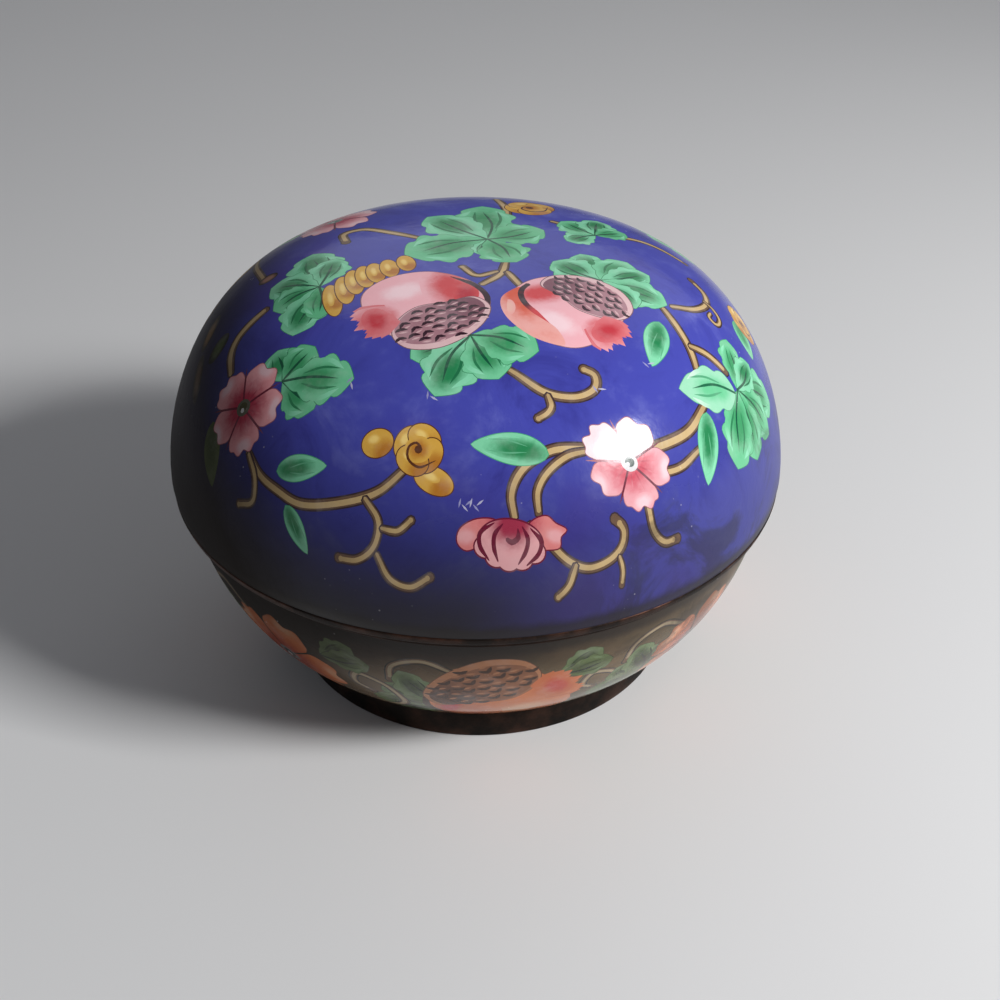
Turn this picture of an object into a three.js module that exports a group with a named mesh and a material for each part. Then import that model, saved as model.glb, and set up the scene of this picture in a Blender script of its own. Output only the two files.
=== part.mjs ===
// A round covered box in enamelled copper: a domed lid that lifts off a bowl on a foot ring.
// The lid and the bowl are thin shells with their enamel fused to them. The edge of each is a bare
// metal ring, and the bowl's ring has an upstanding collar that the lid's ring drops over.
// Millimetres, +Z up. The origin is on the ground under the middle of the foot ring, and -Y is
// the side that faces the viewer.

import * as THREE from 'three';

// Lid. Its outside is a flattened dome above its widest line, and tucks in a little below it.
const LID_RADIUS = 50;
const LID_TUCK = 0.7;
const LID_TUCK_HEIGHT = 3;
const DOME_HEIGHT = 34;
const DOME_SHOULDER = 3.8;
const DOME_CROWN = 1.65;

// Bowl. The seam is the plane where the lid rests on it, and the lid's lip overhangs the mouth.
const SEAM_HEIGHT = 33;
const LID_OVERHANG = 1.4;
const BOWL_FLOOR_RADIUS = 28;
const BOWL_FLOOR_HEIGHT = 4;
const BOWL_ROUNDNESS = 1.75;

// Copper with the enamel on both its sides.
const LID_WALL = 1.8;
const BOWL_WALL = 1.8;

// Metal rings on the two edges. They stand a little proud of the enamel.
const LID_RIM_HEIGHT = 1.5;
const BOWL_RIM_HEIGHT = 1.6;
const RIM_PROUD = 0.2;
const RIM_EDGE_BREAK = 0.35;

// The ledge that the lid rests on, and the collar inside it that keeps the lid central.
const LEDGE_WIDTH = 2.5;
const COLLAR_HEIGHT = 4.5;
const COLLAR_WALL = 1;
const COLLAR_CLEARANCE = 0.4;
const COLLAR_EDGE_BREAK = 0.3;

// Foot ring. It stands a little outside the bowl's flat floor, and its top follows the bowl.
const FOOT_SETOUT = 3.1;
const FOOT_WALL = 2.4;
const FOOT_EDGE_BREAK = 0.4;

// Steps round the axis and along each curve.
const STEPS_ROUND = 48;
const DOME_STEPS = 15;
const TUCK_STEPS = 2;
const FLOOR_CURVE_STEPS = 2;
const FOOT_SEAT_STEPS = 2;
const BOWL_SIDE_STEPS = 9;

const QUARTER_TURN = Math.PI / 2;

const lidLipRadius = LID_RADIUS - LID_TUCK;
const lidEdgeHeight = SEAM_HEIGHT + LID_RIM_HEIGHT;
const lidWidestHeight = SEAM_HEIGHT + LID_TUCK_HEIGHT;
const bowlEdgeHeight = SEAM_HEIGHT - BOWL_RIM_HEIGHT;
const bowlMouthRadius = lidLipRadius - LID_OVERHANG;
const bowlRimRadius = bowlMouthRadius + RIM_PROUD;
const collarRadius = bowlRimRadius - LEDGE_WIDTH;
const lidRimBore = collarRadius + COLLAR_CLEARANCE;
const footBore = BOWL_FLOOR_RADIUS + FOOT_SETOUT;
const footRadius = footBore + FOOT_WALL;

const enamel = (name, color, roughness) =>
  new THREE.MeshStandardMaterial({ name, color, roughness, metalness: 0 });

const blueEnamel = enamel('blue_enamel', 0x33348c, 0.15);
const oliveEnamel = enamel('olive_enamel', 0x5c5a44, 0.2);
const agedCopper = new THREE.MeshStandardMaterial({
  name: 'aged_copper',
  color: 0x5a3a28,
  roughness: 0.45,
  metalness: 1,
});

const point = (radius, height) => new THREE.Vector2(radius, height);

// The points of a curve from one value of its parameter to another, without the first.
function along(curve, from, to, steps) {
  const points = [];
  for (let i = 1; i <= steps; i += 1) {
    points.push(curve(THREE.MathUtils.lerp(from, to, i / steps)));
  }
  return points;
}

// Turns an outline of radius and height once round the Z axis. An outline that leaves the axis
// is closed on itself.
function turned(name, outline, material) {
  const onAxis = outline[0].x === 0;
  const closed = onAxis ? outline : [...outline, outline[0].clone()];
  const geometry = new THREE.LatheGeometry(closed, STEPS_ROUND);
  geometry.rotateX(QUARTER_TURN);
  const mesh = new THREE.Mesh(geometry, material);
  mesh.name = name;
  return mesh;
}

// The outline of a shell: its outside, and the same line moved inwards by the wall. Each point
// moves square to its neighbours, the first along the axis and the last along the radius.
function shell(outside, wall) {
  const last = outside.length - 1;
  const upward = Math.sign(outside[last].y - outside[0].y);
  const inside = outside.map((at, i) => {
    if (i === 0) return point(0, at.y + upward * wall);
    if (i === last) return point(at.x - wall, at.y);
    const run = outside[i + 1].clone().sub(outside[i - 1]).normalize();
    return point(at.x - upward * run.y * wall, at.y + upward * run.x * wall);
  });
  const outline = [...outside, ...inside.reverse()];
  return upward > 0 ? outline : outline.reverse();
}

// The dome is a superellipse. Its parameter is an angle from the crown to the widest line.
function domePoint(angle) {
  const reach = Math.sin(angle);
  const rise = Math.max(0, 1 - reach ** DOME_SHOULDER) ** (1 / DOME_CROWN);
  return point(LID_RADIUS * reach, lidWidestHeight + DOME_HEIGHT * rise);
}

// The tuck is a quarter wave from the lip out to the full radius. Its parameter is the height.
function tuckPoint(height) {
  const share = (height - SEAM_HEIGHT) / LID_TUCK_HEIGHT;
  const spread = LID_TUCK * Math.sin(share * QUARTER_TURN);
  return point(lidLipRadius + spread, height);
}

// The bowl's side is a superellipse too. Its parameter is an angle from the floor to the seam.
function bowlPoint(angle) {
  const spread = Math.sin(angle) ** (2 / BOWL_ROUNDNESS);
  const drop = Math.cos(angle) ** (2 / BOWL_ROUNDNESS);
  return point(
    THREE.MathUtils.lerp(BOWL_FLOOR_RADIUS, bowlMouthRadius, spread),
    THREE.MathUtils.lerp(SEAM_HEIGHT, BOWL_FLOOR_HEIGHT, drop),
  );
}

function bowlAngleAtRadius(radius) {
  const spread = (radius - BOWL_FLOOR_RADIUS) / (bowlMouthRadius - BOWL_FLOOR_RADIUS);
  return Math.asin(spread ** (BOWL_ROUNDNESS / 2));
}

function bowlAngleAtHeight(height) {
  const drop = (SEAM_HEIGHT - height) / (SEAM_HEIGHT - BOWL_FLOOR_HEIGHT);
  return Math.acos(drop ** (BOWL_ROUNDNESS / 2));
}

const seatStart = bowlAngleAtRadius(footBore);
const seatEnd = bowlAngleAtRadius(footRadius);
const footSeat = [
  bowlPoint(seatStart),
  ...along(bowlPoint, seatStart, seatEnd, FOOT_SEAT_STEPS),
];

function makeLid() {
  const outside = [
    domePoint(0),
    ...along(domePoint, 0, QUARTER_TURN, DOME_STEPS),
    ...along(tuckPoint, lidWidestHeight, lidEdgeHeight, TUCK_STEPS),
  ];
  return turned('lid', shell(outside, LID_WALL), blueEnamel);
}

// The foot's seat is part of the outline, so that the two meet face to face.
function makeBowl() {
  const outside = [
    point(0, BOWL_FLOOR_HEIGHT),
    point(BOWL_FLOOR_RADIUS, BOWL_FLOOR_HEIGHT),
    ...along(bowlPoint, 0, seatStart, FLOOR_CURVE_STEPS).slice(0, -1),
    ...footSeat,
    ...along(bowlPoint, seatEnd, bowlAngleAtHeight(bowlEdgeHeight), BOWL_SIDE_STEPS),
  ];
  return turned('bowl', shell(outside, BOWL_WALL), oliveEnamel);
}

// A flat ring. Its outer face follows the tuck, and its outer corners are broken.
function makeLidRim() {
  const face = (height) => tuckPoint(height).x + RIM_PROUD;
  const outline = [
    point(lidRimBore, SEAM_HEIGHT),
    point(face(SEAM_HEIGHT) - RIM_EDGE_BREAK, SEAM_HEIGHT),
    point(face(SEAM_HEIGHT + RIM_EDGE_BREAK), SEAM_HEIGHT + RIM_EDGE_BREAK),
    point(face(lidEdgeHeight - RIM_EDGE_BREAK), lidEdgeHeight - RIM_EDGE_BREAK),
    point(face(lidEdgeHeight) - RIM_EDGE_BREAK, lidEdgeHeight),
    point(lidRimBore, lidEdgeHeight),
  ];
  return turned('lid_rim', outline, agedCopper);
}

// A ring with an L section: the ledge on the bowl's edge, and the collar inside it.
function makeBowlRim() {
  const bore = collarRadius - COLLAR_WALL;
  const collarTop = SEAM_HEIGHT + COLLAR_HEIGHT;
  const outline = [
    point(bore, bowlEdgeHeight),
    point(bowlRimRadius - RIM_EDGE_BREAK, bowlEdgeHeight),
    point(bowlRimRadius, bowlEdgeHeight + RIM_EDGE_BREAK),
    point(bowlRimRadius, SEAM_HEIGHT - RIM_EDGE_BREAK),
    point(bowlRimRadius - RIM_EDGE_BREAK, SEAM_HEIGHT),
    point(collarRadius, SEAM_HEIGHT),
    point(collarRadius, collarTop - COLLAR_EDGE_BREAK),
    point(collarRadius - COLLAR_EDGE_BREAK, collarTop),
    point(bore, collarTop),
  ];
  return turned('bowl_rim', outline, agedCopper);
}

// A ring that is flat below and has the bowl's seat on top.
function makeFootRing() {
  const outline = [
    point(footBore + FOOT_EDGE_BREAK, 0),
    point(footRadius - FOOT_EDGE_BREAK, 0),
    point(footRadius, FOOT_EDGE_BREAK),
    ...footSeat.slice().reverse(),
    point(footBore, FOOT_EDGE_BREAK),
  ];
  return turned('foot_ring', outline, agedCopper);
}

const box = new THREE.Group();
box.name = 'enamel_box';
box.add(makeFootRing(), makeBowl(), makeBowlRim(), makeLidRim(), makeLid());

export default box;
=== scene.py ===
# %% [markdown]
# A painted enamel box
#
# The real object is a small round box of copper, covered with fired glass. A blue domed lid lifts
# off an olive-brown bowl, and both edges and the foot are bare, darkened copper. Fruit, blossoms,
# leaves and tendrils are painted in coloured enamels on the glass and fired again, so they lie
# flush in the glaze and have no relief. The solids give every size. What is made here is the
# smooth turned surface, the painting in it, and the finish of glass and metal.

# %% The frame and its sizes
import math

import bpy
import numpy as np
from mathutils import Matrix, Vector, geometry


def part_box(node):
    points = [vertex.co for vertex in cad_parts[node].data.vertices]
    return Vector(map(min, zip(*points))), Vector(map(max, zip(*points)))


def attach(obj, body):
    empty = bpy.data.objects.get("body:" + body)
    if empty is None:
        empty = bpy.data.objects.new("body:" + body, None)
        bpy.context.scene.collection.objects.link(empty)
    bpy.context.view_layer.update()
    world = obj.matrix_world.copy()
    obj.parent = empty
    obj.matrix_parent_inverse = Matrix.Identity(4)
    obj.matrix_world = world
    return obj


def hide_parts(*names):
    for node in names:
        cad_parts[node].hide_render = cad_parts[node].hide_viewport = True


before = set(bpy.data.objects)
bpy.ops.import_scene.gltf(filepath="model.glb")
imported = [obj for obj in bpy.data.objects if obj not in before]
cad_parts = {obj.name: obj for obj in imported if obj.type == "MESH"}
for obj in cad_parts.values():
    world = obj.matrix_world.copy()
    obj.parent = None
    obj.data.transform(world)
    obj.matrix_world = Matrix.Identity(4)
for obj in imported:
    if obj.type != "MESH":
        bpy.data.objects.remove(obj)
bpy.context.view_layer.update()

MM = 0.001
LID_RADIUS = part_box("lid")[1].x / MM
LID_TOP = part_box("lid")[1].z / MM
LID_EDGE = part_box("lid")[0].z / MM
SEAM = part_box("lid_rim")[0].z / MM
BOWL_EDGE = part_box("bowl")[1].z / MM
BOWL_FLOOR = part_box("bowl")[0].z / MM
BOWL_RIM_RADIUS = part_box("bowl_rim")[1].x / MM
COLLAR_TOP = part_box("bowl_rim")[1].z / MM
FOOT_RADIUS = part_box("foot_ring")[1].x / MM
print(f"lid {LID_RADIUS * 2:.1f} mm across and {LID_TOP:.1f} mm high, seam at {SEAM:.1f} mm")

# %% [markdown]
# The camera
#
# A camera far from a small object flattens it, and a near one swells what is close. The camera's
# height, distance and lens were fitted together to the outline, the seam and the foot of the box,
# so it stands at a real distance of about 0.2 m. The box lies left of and above the middle of a
# wider picture, which a small lens shift repeats.

# %% The camera
CAMERA_DISTANCE = 219.9
CAMERA_ELEVATION = 36.09
CAMERA_ROLL = 2.56
AIM_RIGHT = 16.6
AIM_HEIGHT = 14.1
FOCAL_PIXELS = 1230.8
PICTURE_PIXELS = 1000
MIDDLE_X = 575
MIDDLE_Y = 550
SENSOR = 36


def make_camera():
    data = bpy.data.cameras.new("camera")
    data.sensor_width = SENSOR
    data.lens = FOCAL_PIXELS / PICTURE_PIXELS * SENSOR
    data.shift_x = (PICTURE_PIXELS / 2 - MIDDLE_X) / PICTURE_PIXELS
    data.shift_y = (MIDDLE_Y - PICTURE_PIXELS / 2) / PICTURE_PIXELS
    data.clip_start = 0.01
    camera = bpy.data.objects.new("camera", data)
    bpy.context.scene.collection.objects.link(camera)
    tilt = math.radians(CAMERA_ELEVATION)
    camera.location = (
        AIM_RIGHT * MM,
        -CAMERA_DISTANCE * math.cos(tilt) * MM,
        (AIM_HEIGHT + CAMERA_DISTANCE * math.sin(tilt)) * MM,
    )
    aim = Vector((0, math.cos(tilt), -math.sin(tilt))).to_track_quat("-Z", "Y").to_matrix().to_4x4()
    roll = Vector((0, 0, 1))
    camera.rotation_euler = (aim @ aim.Rotation(math.radians(CAMERA_ROLL), 4, roll)).to_euler()
    bpy.context.scene.camera = camera
    return camera


camera = make_camera()
print(f"camera at {tuple(round(x, 4) for x in camera.location)}, lens {camera.data.lens:.1f} mm")

# %% [markdown]
# Turned surfaces
#
# The lid and the bowl are turned shapes, so one line of radius and height says all of either. The
# line is read by the distance along it. That distance and the bearing make a flat plan of the
# whole surface, as a globe is drawn on a round map from its pole: the pattern is drawn flat, in
# millimetres, and then wrapped.

# %% Profiles
DOME_SHOULDER = 3.8
DOME_CROWN = 1.65
LID_TUCK = 0.7
LID_TUCK_HEIGHT = 3.0
LID_OVERHANG = 1.4
BOWL_FLOOR_RADIUS = 28.0
BOWL_MOUTH_RADIUS = LID_RADIUS - LID_TUCK - LID_OVERHANG
BOWL_ROUNDNESS = 1.75
WALL = 1.8
PROFILE_STEPS = 2000
TUCK_STEPS = 40
SLOPE_REACH = 0.2


class Profile:
    """A turned surface, read by the distance along its line from the axis, in millimetres."""

    def __init__(self, radius, height, outward):
        self.radius = np.asarray(radius)
        self.height = np.asarray(height)
        lengths = np.hypot(np.diff(self.radius), np.diff(self.height))
        self.run = np.concatenate([[0], np.cumsum(lengths)])
        self.end = self.run[-1]
        self.outward = outward

    def at(self, run):
        return np.interp(run, self.run, self.radius), np.interp(run, self.run, self.height)

    def wrap(self, plan):
        """Plan points in millimetres as points in space and their normals, in metres."""
        run = np.hypot(plan[:, 0], plan[:, 1])
        bearing = np.arctan2(plan[:, 1], plan[:, 0])
        radius, height = self.at(run)
        ahead_radius, ahead_height = self.at(np.minimum(run + SLOPE_REACH, self.end))
        back_radius, back_height = self.at(np.maximum(run - SLOPE_REACH, 0))
        along = np.stack([ahead_radius - back_radius, ahead_height - back_height], 1)
        along /= np.linalg.norm(along, axis=1, keepdims=True)
        normal_radius = -along[:, 1] * self.outward
        normal_height = along[:, 0] * self.outward
        cosine, sine = np.cos(bearing), np.sin(bearing)
        points = np.stack([radius * cosine, radius * sine, height], 1) * MM
        normals = np.stack([normal_radius * cosine, normal_radius * sine, normal_height], 1)
        return points, normals


def lid_profile():
    angle = np.linspace(0, math.pi / 2, PROFILE_STEPS)
    widest = SEAM + LID_TUCK_HEIGHT
    reach = np.sin(angle)
    radius = LID_RADIUS * reach
    height = widest + (LID_TOP - widest) * np.maximum(0, 1 - reach**DOME_SHOULDER) ** (1 / DOME_CROWN)
    low = np.linspace(widest, LID_EDGE, TUCK_STEPS)[1:]
    share = (low - SEAM) / LID_TUCK_HEIGHT
    tuck = LID_RADIUS - LID_TUCK + LID_TUCK * np.sin(share * math.pi / 2)
    return Profile(np.concatenate([radius, tuck]), np.concatenate([height, low]), 1)


def bowl_profile():
    angle = np.linspace(0, math.pi / 2, PROFILE_STEPS)
    spread = np.sin(angle) ** (2 / BOWL_ROUNDNESS)
    drop = np.cos(angle) ** (2 / BOWL_ROUNDNESS)
    radius = BOWL_FLOOR_RADIUS + (BOWL_MOUTH_RADIUS - BOWL_FLOOR_RADIUS) * spread
    height = SEAM + (BOWL_FLOOR - SEAM) * drop
    below = height < BOWL_EDGE
    edge_radius = np.interp(BOWL_EDGE, height, radius)
    radius = np.concatenate([[0], radius[below], [edge_radius]])
    height = np.concatenate([[BOWL_FLOOR], height[below], [BOWL_EDGE]])
    return Profile(radius, height, -1)


lid_line = lid_profile()
bowl_line = bowl_profile()
print(f"along the lid {lid_line.end:.1f} mm, along the bowl {bowl_line.end:.1f} mm")

# %% [markdown]
# Brush strokes as outlines
#
# The painting could be an image, but then it would blur close up. Here each stroke is an outline
# with a paint of its own, laid over the one before as a painter does: a dark contour first, then
# the colour, then veins and lights. Outlines come from a few points and a curve through them, or
# from a formula for a petal or a leaf.

# %% Curves and outlines
STEP = 0.45
TAPER = 0.25
TOOTH_DEPTH = 0.24
ROUND = 2 * math.pi


def points_of(values):
    return np.asarray(values, float).reshape(-1, 2)


def smooth(points, closed=False, step=STEP):
    """A round curve through the points, however far apart, in steps of about one length."""
    points = points_of(points)
    if closed:
        before, after = points[-1:], points[:2]
    else:
        before, after = 2 * points[:1] - points[1:2], 2 * points[-1:] - points[-2:-1]
    points = np.concatenate([before, points, after])
    found = []
    for a, b, c, d in zip(points, points[1:], points[2:], points[3:]):
        ab, bc, cd = (math.sqrt(max(math.dist(p, q), 1e-6)) for p, q in ((a, b), (b, c), (c, d)))
        leave = c - b + bc * ((b - a) / ab - (c - a) / (ab + bc))
        arrive = c - b + bc * ((d - c) / cd - (d - b) / (bc + cd))
        pieces = max(2, round(math.dist(b, c) / step))
        t = (np.arange(pieces) / pieces)[:, None]
        square = 3 * (c - b) - 2 * leave - arrive
        cube = 2 * (b - c) + leave + arrive
        found.append(b + leave * t + square * t**2 + cube * t**3)
    if not closed:
        found.append(points[-2:-1])
    return np.concatenate(found)


def sideways(line, closed=False):
    """The unit vector to the left of a line at each of its points."""
    if closed:
        run = np.roll(line, -1, 0) - np.roll(line, 1, 0)
    else:
        run = np.gradient(line, axis=0)
    run /= np.maximum(np.linalg.norm(run, axis=1, keepdims=True), 1e-9)
    return np.stack([-run[:, 1], run[:, 0]], 1)


def grow(outline, amount):
    """A closed outline, counter-clockwise, moved outwards."""
    return outline - sideways(outline, closed=True) * amount


def counter_clockwise(outline):
    x, y = outline.T
    area = np.sum(x * np.roll(y, -1) - y * np.roll(x, -1))
    return outline if area > 0 else outline[::-1]


def disc(x, y, radius, squash=1.0, turn=0.0, count=None):
    count = count or max(8, round(ROUND * radius / STEP))
    angle = np.arange(count) / count * ROUND
    flat = np.stack([radius * np.cos(angle), radius * squash * np.sin(angle)], 1)
    return spin(flat, turn) + (x, y)


def spin(points, degrees):
    a = math.radians(degrees)
    return points_of(points) @ np.array([[math.cos(a), math.sin(a)], [-math.sin(a), math.cos(a)]])


def stroke(points, width, start=0.35, end=0.35):
    """A brush line as a closed outline. Its two ends have the shares start and end of its width."""
    line = smooth(points)
    share = np.linspace(0, 1, len(line))
    swell = np.minimum(1, start + (1 - start) * share / TAPER)
    fade = np.minimum(1, end + (1 - end) * (1 - share) / TAPER)
    half = (width / 2 * swell * fade)[:, None]
    side = sideways(line)
    tip = line[-1:] + (line[-1:] - line[-2:-1]) * 0.5
    tail = line[:1] + (line[:1] - line[1:2]) * 0.5
    return counter_clockwise(np.concatenate([tail, line - side * half, tip, (line + side * half)[::-1]]))


def blade(length, width, belly=0.8, teeth=0):
    """A leaf from its stalk at the start of X to its tip."""
    count = max(10, round(length / STEP), teeth * 5)
    share = np.linspace(0, 1, count)
    half = width / 2 * np.sin(math.pi * share**belly) ** 0.75
    if teeth:
        half = half * (1 - TOOTH_DEPTH * (1 - np.abs(np.sin(math.pi * teeth * share))))
    upper = np.stack([share * length, half], 1)
    lower = np.stack([share * length, -half], 1)[1:-1]
    return np.concatenate([lower, upper[::-1]])


print(f"a leaf of 10 mm takes {len(blade(10, 5, teeth=4))} points")

# %% [markdown]
# Paints and the sheet they are laid on
#
# A painted petal isn't one colour: it is loaded with a strong colour where the brush starts and
# thins to a pale one. A paint is two colours and the place that the second one spreads from. Each
# corner of the mesh later keeps both colours and its distance from that place, so the material can
# blend them finely and break up the blend. A stroke can be kept within another outline, as a blush
# stays on its fruit.

# %% Paints
def rgb(red, green, blue):
    """A screen colour as the linear one that materials use."""
    shares = (red / 255, green / 255, blue / 255)
    return tuple(s / 12.92 if s <= 0.04045 else ((s + 0.055) / 1.055) ** 2.4 for s in shares)


def mixed(first, second, share):
    """A colour on the way from the first to the second."""
    return tuple(a + (b - a) * share for a, b in zip(first, second))


BLUE = rgb(70, 74, 172)
BLUE_DEEP = rgb(40, 36, 118)
LEAF = rgb(82, 182, 122)
LEAF_DEEP = rgb(30, 124, 74)
LEAF_LIGHT = rgb(140, 222, 180)
LEAF_INK = rgb(12, 76, 56)
TAN = rgb(174, 146, 102)
TAN_LIGHT = rgb(212, 182, 130)
TAN_DEEP = rgb(110, 84, 64)
TAN_INK = rgb(58, 42, 48)
YELLOW = rgb(222, 172, 74)
YELLOW_DEEP = rgb(188, 122, 42)
YELLOW_LIGHT = rgb(248, 212, 122)
YELLOW_INK = rgb(92, 50, 26)
PINK = rgb(248, 184, 192)
PINK_PALE = rgb(255, 218, 224)
SALMON = rgb(226, 132, 130)
ROSE = rgb(200, 66, 92)
ROSE_DEEP = rgb(112, 22, 50)
CORAL = rgb(214, 70, 76)
CORAL_DEEP = rgb(190, 36, 56)
PEACH = rgb(244, 168, 146)
PEACH_DEEP = rgb(224, 92, 66)
SEED = rgb(172, 124, 134)
SEED_PALE = rgb(230, 190, 192)
SEED_DEEP = rgb(128, 80, 94)
SEED_INK = rgb(52, 22, 36)
WHITE = rgb(246, 242, 244)
OLIVE = rgb(118, 96, 68)
OLIVE_DEEP = rgb(62, 46, 32)
ORANGE = rgb(214, 124, 74)
ORANGE_DEEP = rgb(170, 72, 48)
ORANGE_PALE = rgb(226, 168, 128)
SAGE = rgb(86, 100, 52)
SAGE_DEEP = rgb(50, 66, 36)
SAGE_INK = rgb(26, 34, 26)
BONE = rgb(146, 130, 102)
# painted shade: the near-black brown of the shaded left flank, the seam band and the dim blots there
SHADE_BLACK = rgb(26, 20, 16)


class Sheet:
    """The flat plan of one surface: outlines in the order in which they are painted."""

    def __init__(self, profile, place=points_of):
        self.profile = profile
        self.place = place
        self.laid = []

    def lay(self, outline, colour, second=None, centre=None, reach=1.0, turn=0.0, within=None):
        """One stroke. Its second colour is full at the centre and gone at the reach from it."""
        outline = points_of(outline)
        centre = outline.mean(0) if centre is None else np.asarray(centre, float)
        axes = spin(np.diag(np.broadcast_to(reach, 2)), turn) + centre
        middle = self.place(centre)[0]
        spread = np.linalg.inv(self.place(axes) - middle)
        clip = None if within is None else self.place(within)
        outline = counter_clockwise(self.place(outline))
        self.laid.append((outline, colour, second or colour, middle, spread, clip))

    def edged(self, outlines, edge, thickness, colour, second=None, centre=None, reach=1.0):
        """Several outlines as one shape, with a darker contour round the whole."""
        outlines = [counter_clockwise(points_of(o)) for o in outlines]
        for outline in outlines:
            self.lay(grow(outline, thickness), edge)
        for outline in outlines:
            self.lay(outline, colour, second, centre, reach)

    def soft(self, place, length, width, turn, around, colour, within=None):
        """A blot that fades evenly into the paint around it."""
        outline = disc(place[0], place[1], length / 2, width / length, turn)
        self.lay(outline, around, colour, place, (length / 2, width / 2), turn, within)


print(f"the blue ground is {tuple(round(share, 3) for share in BLUE)} as a linear colour")

# %% [markdown]
# The motifs
#
# Each plant form is a function, so a leaf is one line wherever it grows. Leaves are mint at the
# rim and emerald in the middle. The lobed ones have toothed edges and a dark rib, and the plain
# ones have pale streaks. Tendrils are tan with a dark contour and a light along the middle, and
# some end in a round hook. Short pale scratches stand for the scuffs in the glaze.

# %% Leaves and tendrils
LEAF_SHINE = ((0.4, 0.37), (0.62, 0.36), (0.82, 0.2))
LEAF_STREAK = ((0.3, 0.1), (0.55, 0.2), (0.78, 0.18))
LEAF_EDGE = 0.1
RIB_WIDTH = 0.42
LOBE_TEETH = 4
LOBE_SWELL = 1.14
STEM_EDGE = 0.22
SCRATCH_STEP = 0.55
SCRATCH_TURNS = (68, -52, 30)


def between(start, end, share, aside=0.0):
    """A point on the way from start to end, moved to the left of the way."""
    start, end = np.asarray(start, float), np.asarray(end, float)
    run = end - start
    return start + run * share + np.array([-run[1], run[0]]) * aside


def bearing_of(start, end):
    run = np.asarray(end, float) - np.asarray(start, float)
    return float(np.hypot(*run)), math.degrees(math.atan2(run[1], run[0]))


def leaf(
    sheet, base, tip, width, teeth=0, belly=0.8, colours=(LEAF, LEAF_DEEP), light=LEAF_LIGHT, ink=LEAF_INK
):
    """Light at the rim and deep in the middle, with a dark rib if toothed and pale streaks if not."""
    length, turn = bearing_of(base, tip)
    body = spin(blade(length, width, belly, teeth), turn) + base
    slim = width / length
    tone = 0.5 + 0.5 * math.sin(tip[0] * 1.3 + tip[1] * 2.1)
    rim = mixed(colours[0], light, 0.3 + 0.5 * tone)
    deep = mixed(colours[0], colours[1], 0.5 + 0.4 * tone)
    bend = 0.07 * math.sin(tip[0] + tip[1])
    sheet.edged([body], mixed(ink, colours[0], 0.45 if teeth else 0.75), LEAF_EDGE, rim)
    heart = between(base, tip, 0.42 + 0.2 * tone if teeth else 0.36)
    spread = (0.84, 0.7) if teeth else (1.05, 0.95)
    sheet.soft(heart, length * spread[0], width * spread[1], turn, rim, deep, body)
    for side in (1, -1):
        shine = [between(base, tip, s, side * a * slim) for s, a in LEAF_SHINE]
        sheet.lay(stroke(shine, width * 0.09, 0.2, 0.2), light, rim, shine[0], length * 0.35)
        streak = [between(base, tip, s, bend * 0.5 + side * a * slim) for s, a in LEAF_STREAK]
        paint = mixed(deep, ink, 0.4) if teeth else mixed(deep, light, 0.4)
        sheet.lay(stroke(streak, width * 0.05, 0.3, 0.2), paint)
    if teeth:
        rib = [base, between(base, tip, 0.4, bend), between(base, tip, 0.78)]
        sheet.lay(stroke(rib, RIB_WIDTH, 0.9, 0.12), mixed(ink, colours[1], 0.15))


def foliage(sheet, base, lobes, **paint):
    """A lobed leaf: softly toothed lobes that fan out from one stalk, the far ones painted first."""
    for x, y, width in lobes:
        leaf(sheet, base, (x, y), width * LOBE_SWELL, teeth=LOBE_TEETH, belly=1.3, **paint)


def tendril(sheet, points, width, hook=False, colours=(TAN, TAN_DEEP), light=TAN_LIGHT, ink=TAN_INK):
    """A stem: a dark contour, a tan line and a light along it. A hook is a stem with a round end."""
    points = points_of(points)
    line = smooth(points)
    end = line[-1]
    shapes = [stroke(points, width * 0.86, 0.75, 1.0 if hook else 0.75)]
    if hook:
        shapes.append(disc(end[0], end[1], width * 0.47))
    sheet.edged(shapes, ink, STEM_EDGE, colours[1])
    inner = (line + sideways(line) * width * 0.05)[:: 3 if len(line) > 6 else 1]
    tan = mixed(colours[0], light, 0.25)
    if hook:
        sheet.lay(disc(inner[-1][0], inner[-1][1], width * 0.3), tan)
    middle = line[len(line) // 2]
    sheet.lay(stroke(inner, width * 0.5, 0.7, 0.9), tan, mixed(tan, light, 0.7), middle, len(line) * 0.2)


def glint(sheet, x, y, length, turn):
    """A scuff in the glaze: a zigzag of fine pale scratches."""
    for k in range(max(2, round(length * 1.7))):
        start = spin([(k * SCRATCH_STEP, 0.1 * (k % 3))], turn)[0] + (x, y)
        scratch = spin([(0, 0), (0.9, 0.1)], turn + SCRATCH_TURNS[k % 3]) + start
        sheet.lay(stroke(scratch, 0.3, 0.4, 0.4), mixed(BLUE, WHITE, 0.3 + 0.2 * (k % 2)))


print("leaf, foliage and tendril are ready")

# %% [markdown]
# Blossoms
#
# The open blossoms have five broad petals with a waved edge, deep rose in the throat and pale at
# the rim, parted by dark lines, with a dark eye. The half-closed one is seen from the side: two open
# petals, and between them a ribbed dome of closed ones with maroon lines. The yellow one is a curl
# of thick petals.

# %% Blossoms
PETALS = 5
PETAL_TURN = 360 // PETALS
PETAL_SPREAD = 39
PETAL_NOTCH = 0.1
LEFT_PETAL = ((-2.4, 1.2), (-5.4, 1.2), (-7.8, -0.6), (-8.0, -2.6), (-6.6, -3.7), (-3.8, -1.8))
RIGHT_PETAL = (
    (2.4, 1.2), (3.4, 2.6), (5.0, 3.3), (6.4, 2.5), (8.3, 1.9), (7.6, 0.6), (7.8, -1.0), (6.4, -1.7),
    (4.0, -1.8),
)
DOME_LOBES = ((-3.7, -2.9), (3.9, -2.7), (-1.9, -4.2), (2.1, -4.1), (0.1, -4.6))
DOME_RIBS = (-4.7, -2.5, 2.6, 4.7)
CURL_TURN = 0.95


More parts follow.
